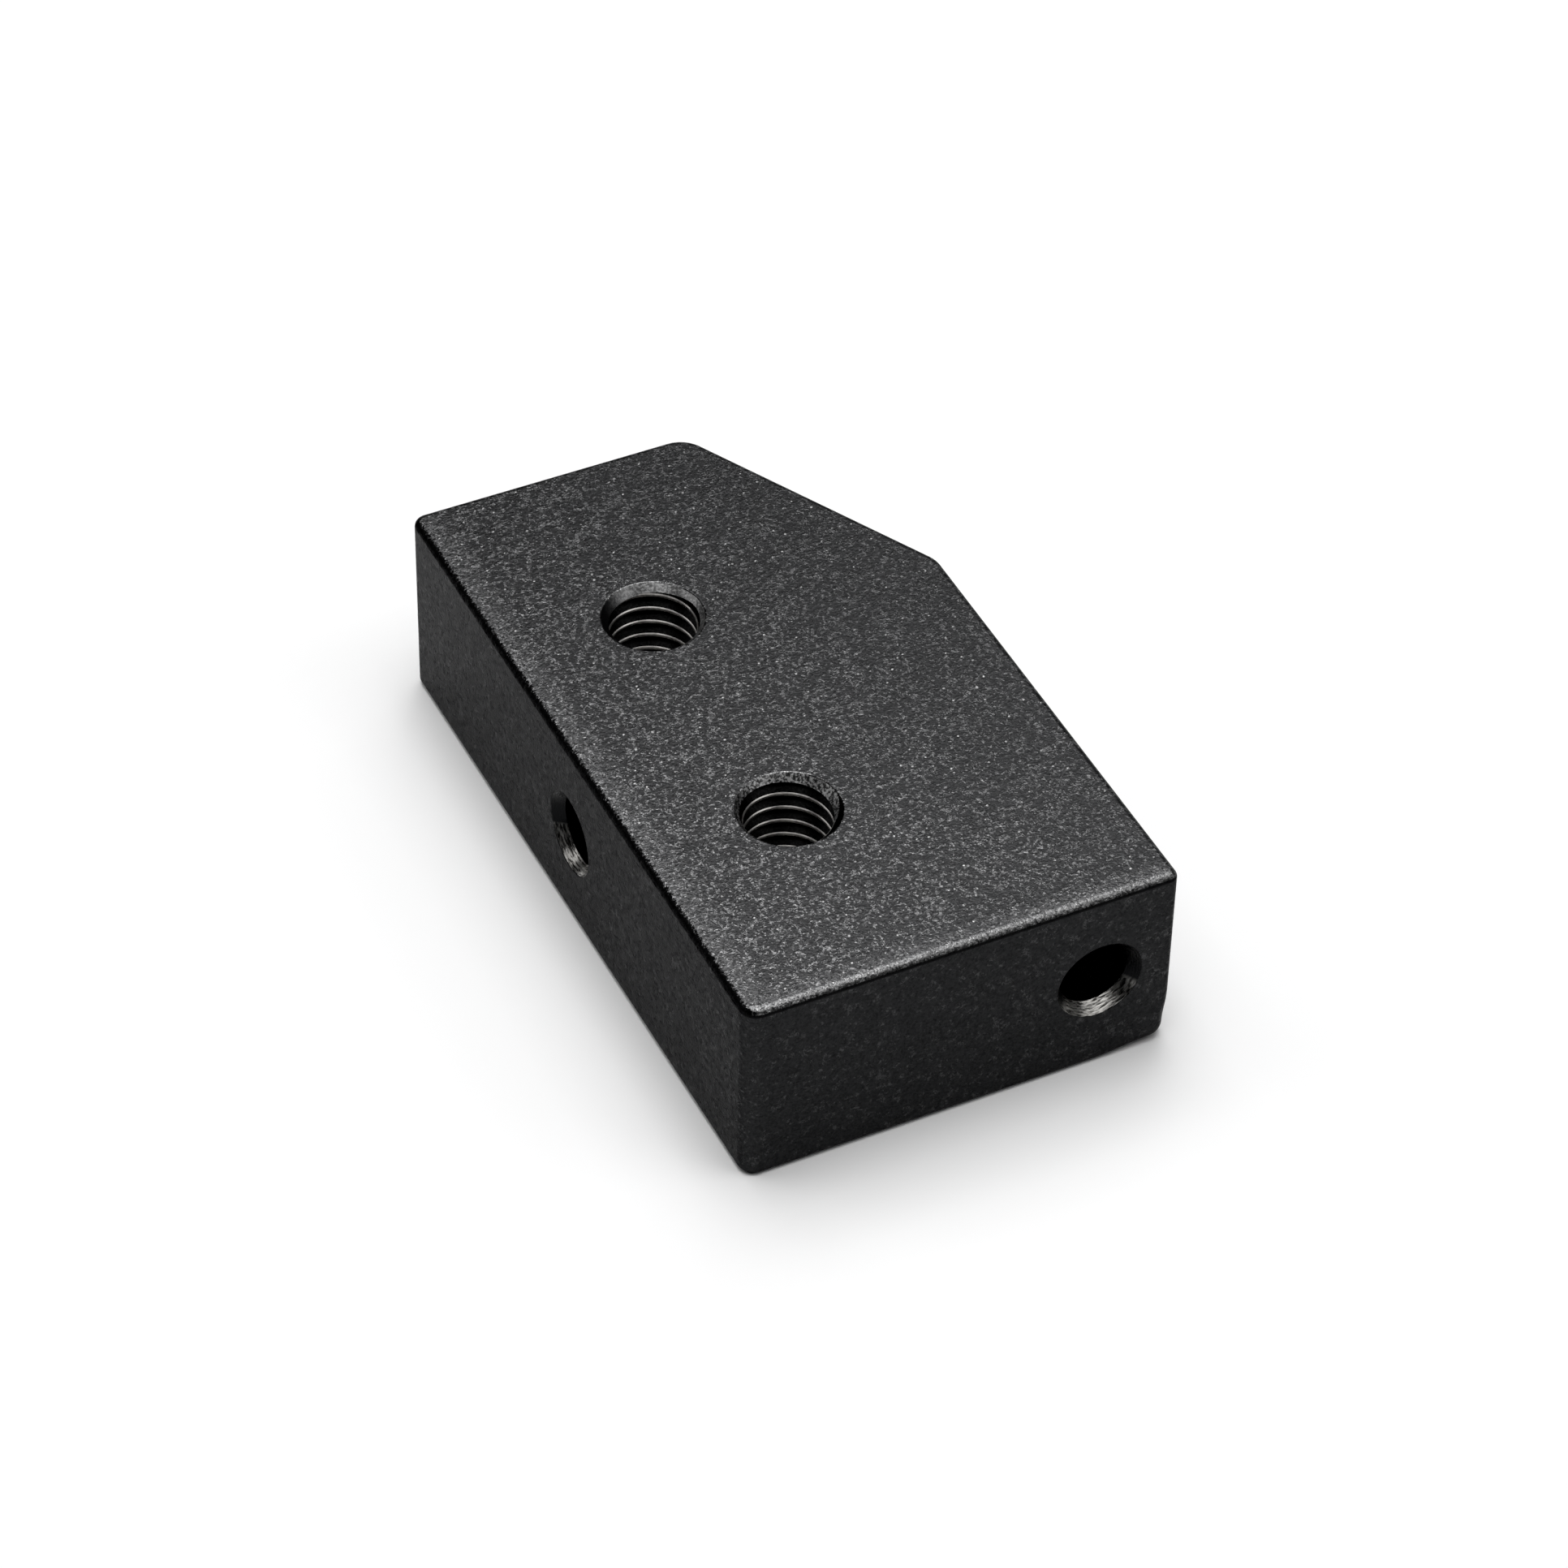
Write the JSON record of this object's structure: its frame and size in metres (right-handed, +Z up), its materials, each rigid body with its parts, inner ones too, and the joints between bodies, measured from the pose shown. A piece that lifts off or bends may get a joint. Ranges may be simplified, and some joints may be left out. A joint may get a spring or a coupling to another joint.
{
  "type": "sealing bracket",
  "caption": "Small flat bracket block with one corner cut off at a slant, tapped holes through its thickness and tapped holes in its side and end.",
  "frame": {"origin": "centre of the block's outline on its bottom face", "axes": "+Z up through the thickness, +Y along the block from the front end to the back end, +X across it towards the side with the slanted cut"},
  "size_m": [0.026, 0.045, 0.0125],
  "materials": {
    "anodised": "bead-blasted, black anodised"
  },
  "bodies": {
    "root": {"bracket_block": "anodised"}
  },
  "joints": []
}
